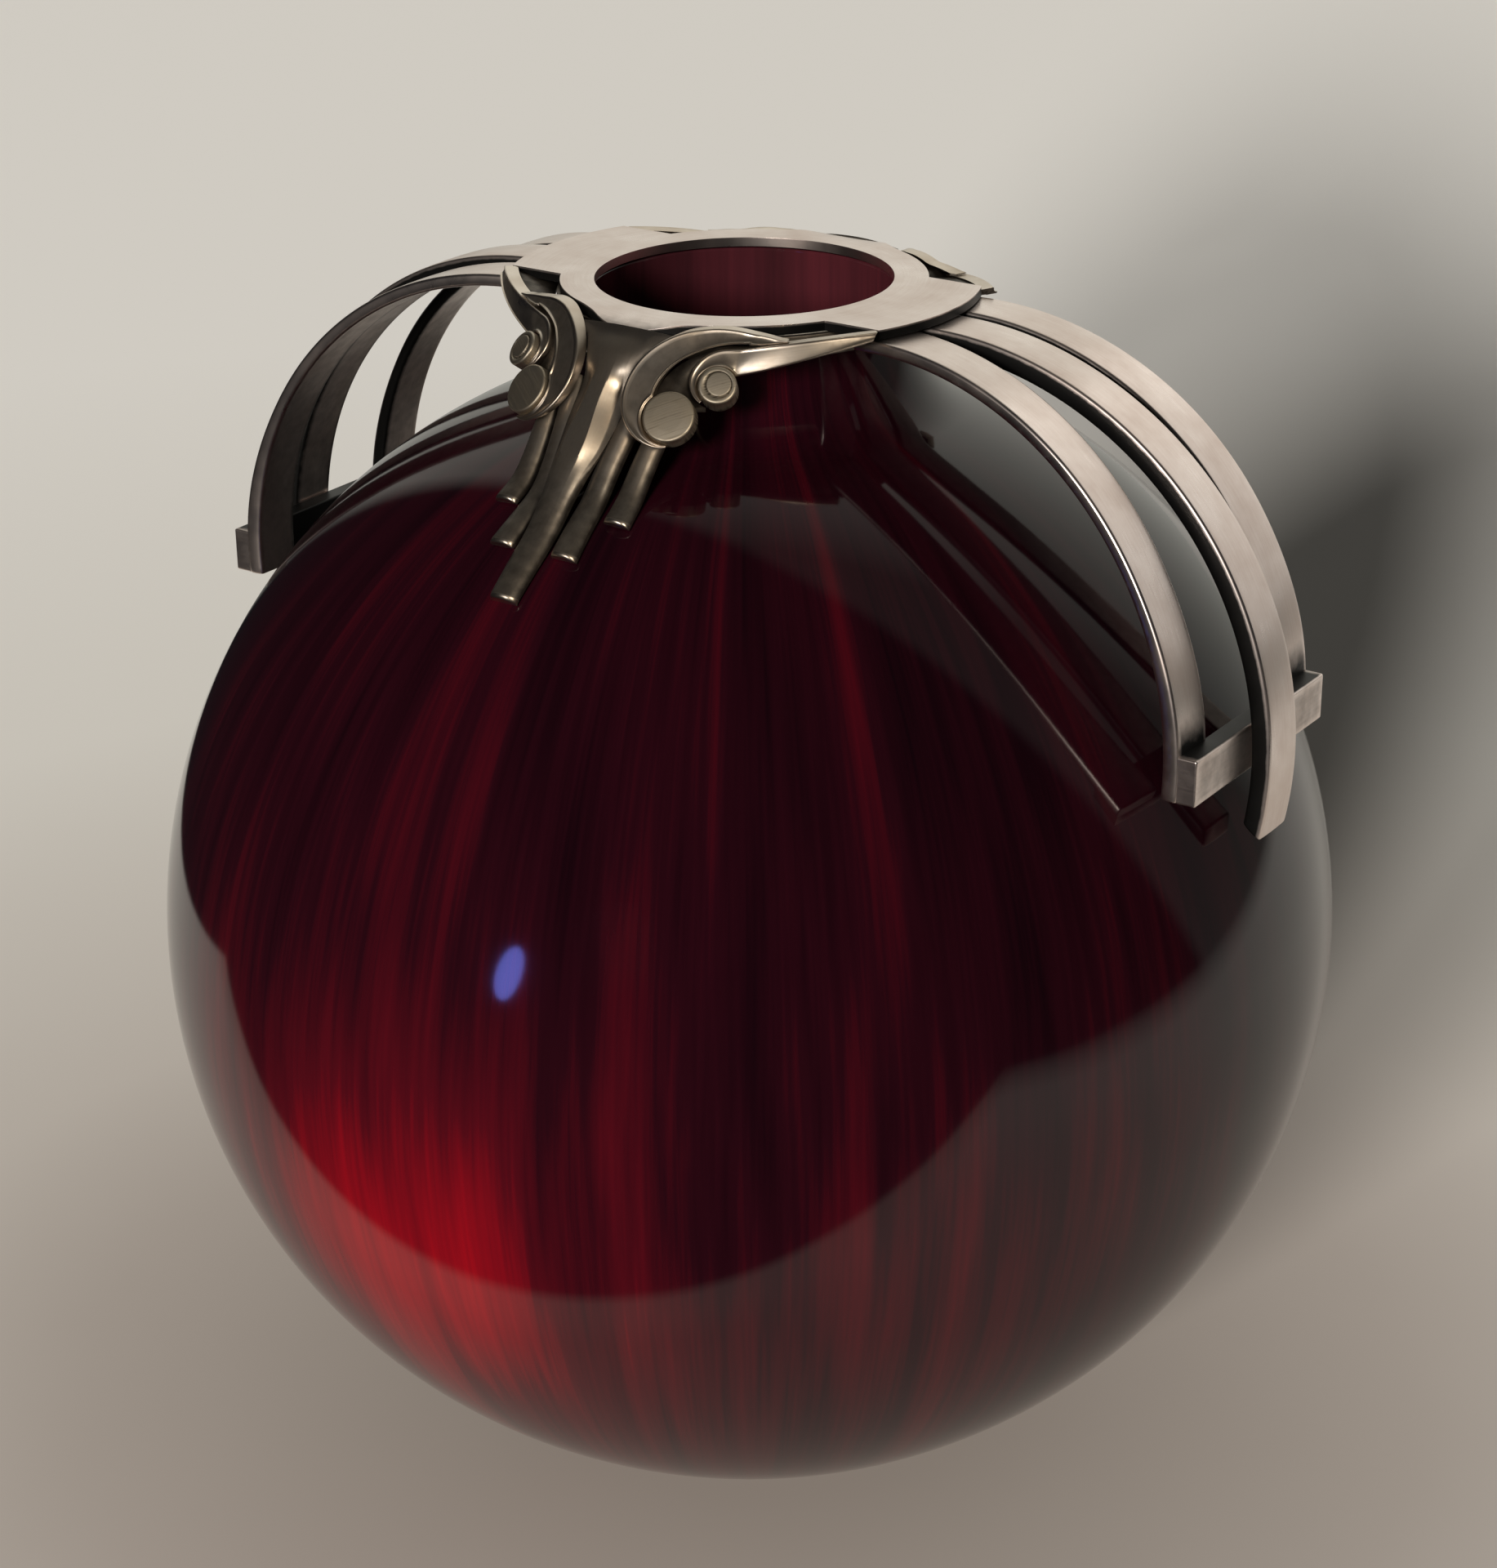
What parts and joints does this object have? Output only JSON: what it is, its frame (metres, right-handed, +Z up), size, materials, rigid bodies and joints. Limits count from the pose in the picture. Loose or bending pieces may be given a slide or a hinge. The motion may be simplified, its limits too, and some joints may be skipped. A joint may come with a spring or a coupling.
{
  "type": "ball vase",
  "caption": "Ball-shaped glazed stoneware vase whose short neck carries a silvered metal collar with open bar handles and scroll-and-leaf ornaments.",
  "frame": {"origin": "centre of the foot ring, on the surface that the vase stands on", "axes": "+Z up along the ball's axis, +X towards the right handle, -Y towards the front ornament"},
  "size_m": [0.23, 0.23, 0.237],
  "materials": {
    "glaze": "glossy oxblood glaze",
    "plaster": "matt",
    "silver": "silver plate, satin, darkened in the recesses"
  },
  "bodies": {
    "root": {"vase_body": "glaze", "neck_plaster": "plaster", "neck_sleeve": "silver", "collar_plate": "silver", "right_handle_front_bar": "silver", "right_handle_middle_bar": "silver", "right_handle_back_bar": "silver", "right_handle_crossbar": "silver", "left_handle_front_bar": "silver", "left_handle_middle_bar": "silver", "left_handle_back_bar": "silver", "left_handle_crossbar": "silver", "front_leaf": "silver", "front_inner_reed_right": "silver", "front_inner_reed_left": "silver", "front_outer_reed_right": "silver", "front_outer_reed_left": "silver", "front_large_scroll_right": "silver", "front_large_scroll_left": "silver", "front_small_scroll_right": "silver", "front_small_scroll_left": "silver", "front_large_eye_right": "silver", "front_large_eye_left": "silver", "front_small_eye_right": "silver", "front_small_eye_left": "silver", "back_leaf": "silver", "back_inner_reed_right": "silver", "back_inner_reed_left": "silver", "back_outer_reed_right": "silver", "back_outer_reed_left": "silver", "back_large_scroll_right": "silver", "back_large_scroll_left": "silver", "back_small_scroll_right": "silver", "back_small_scroll_left": "silver", "back_large_eye_right": "silver", "back_large_eye_left": "silver", "back_small_eye_right": "silver", "back_small_eye_left": "silver"}
  },
  "joints": []
}
